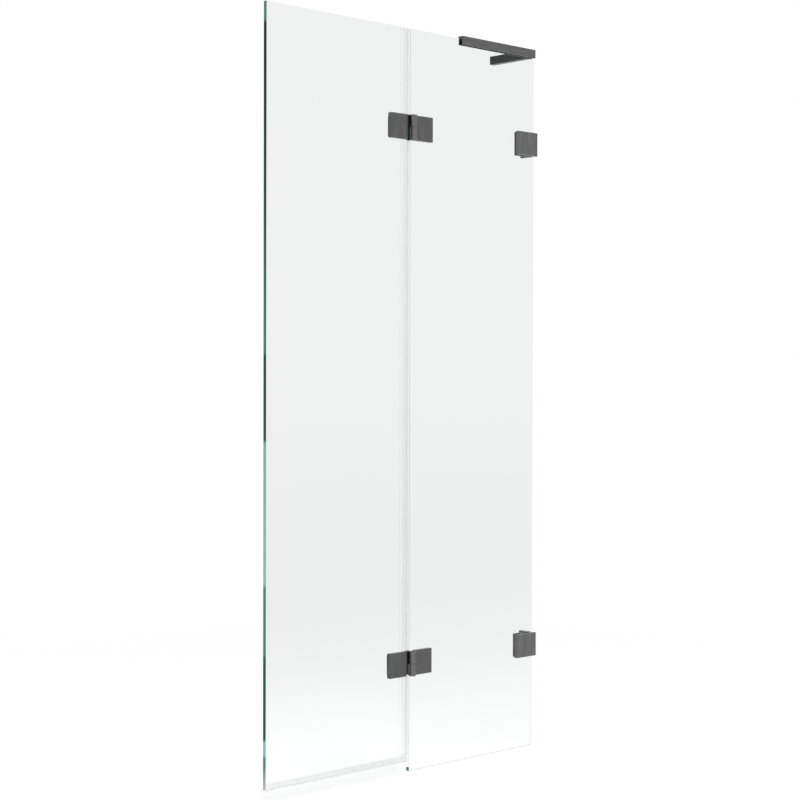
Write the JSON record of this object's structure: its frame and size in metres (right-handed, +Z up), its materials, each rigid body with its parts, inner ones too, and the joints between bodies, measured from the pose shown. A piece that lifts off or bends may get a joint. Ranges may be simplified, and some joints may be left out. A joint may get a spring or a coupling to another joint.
{
  "type": "two-panel bath screen",
  "caption": "Frameless glass bath screen: a pane fixed beside the wall by clamps and a top stabiliser, with a hinged outer pane that folds over it.",
  "frame": {"origin": "middle of the fixed pane's bottom edge, where it stands on the bath rim", "axes": "+X towards the wall that the fixed pane is clamped to, -Y the side the moving pane folds to, +Z up"},
  "size_m": [0.75, 0.1408, 1.5055],
  "materials": {
    "clear_glass": "clear toughened glass with polished edges",
    "gunmetal": "brushed gunmetal",
    "clear_seal": "clear flexible extrusion",
    "gasket": "matt black",
    "nylon": "black",
    "steel": "plain stainless"
  },
  "bodies": {
    "fixed_side": {"fixed_glass": "clear_glass", "lower_hinge_fixed_leaf": "gunmetal", "lower_hinge_pin": "steel", "lower_hinge_bottom_plug": "gunmetal", "lower_hinge_fixed_back_plate": "gunmetal", "lower_hinge_fixed_gaskets": "gasket", "lower_hinge_fixed_sleeves": "nylon", "lower_hinge_fixed_screws": "steel", "lower_clamp_plate": "gunmetal", "lower_wall_bracket": "gunmetal", "lower_clamp_gaskets": "gasket", "lower_clamp_sleeves": "nylon", "lower_clamp_screws": "steel", "upper_hinge_fixed_leaf": "gunmetal", "upper_hinge_pin": "steel", "upper_hinge_bottom_plug": "gunmetal", "upper_hinge_fixed_back_plate": "gunmetal", "upper_hinge_fixed_gaskets": "gasket", "upper_hinge_fixed_sleeves": "nylon", "upper_hinge_fixed_screws": "steel", "upper_clamp_plate": "gunmetal", "upper_wall_bracket": "gunmetal", "upper_clamp_gaskets": "gasket", "upper_clamp_sleeves": "nylon", "upper_clamp_screws": "steel", "stabiliser_channel_arm": "gunmetal", "stabiliser_channel_liner": "gasket", "stabiliser_glass_set_screws": "steel", "stabiliser_wall_arm": "gunmetal", "stabiliser_corner_screws": "steel", "stabiliser_wall_rail": "steel", "stabiliser_rail_set_screws": "steel"},
    "moving_panel": {"moving_glass": "clear_glass", "foot_seal": "clear_seal", "hinge_seal_lower": "clear_seal", "hinge_seal_middle": "clear_seal", "hinge_seal_upper": "clear_seal", "lower_hinge_moving_leaf": "gunmetal", "lower_hinge_bush": "nylon", "lower_hinge_top_plug": "gunmetal", "lower_hinge_moving_back_plate": "gunmetal", "lower_hinge_moving_gaskets": "gasket", "lower_hinge_moving_sleeves": "nylon", "lower_hinge_moving_screws": "steel", "upper_hinge_moving_leaf": "gunmetal", "upper_hinge_bush": "nylon", "upper_hinge_top_plug": "gunmetal", "upper_hinge_moving_back_plate": "gunmetal", "upper_hinge_moving_gaskets": "gasket", "upper_hinge_moving_sleeves": "nylon", "upper_hinge_moving_screws": "steel"}
  },
  "joints": [
    {"name": "panel_hinge", "type": "hinge", "parent": "fixed_side", "child": "moving_panel", "pos_m": [-0.1895, -0.0165, 0.76], "axis": [0, 0, 1], "range_deg": [0, 180]}
  ]
}
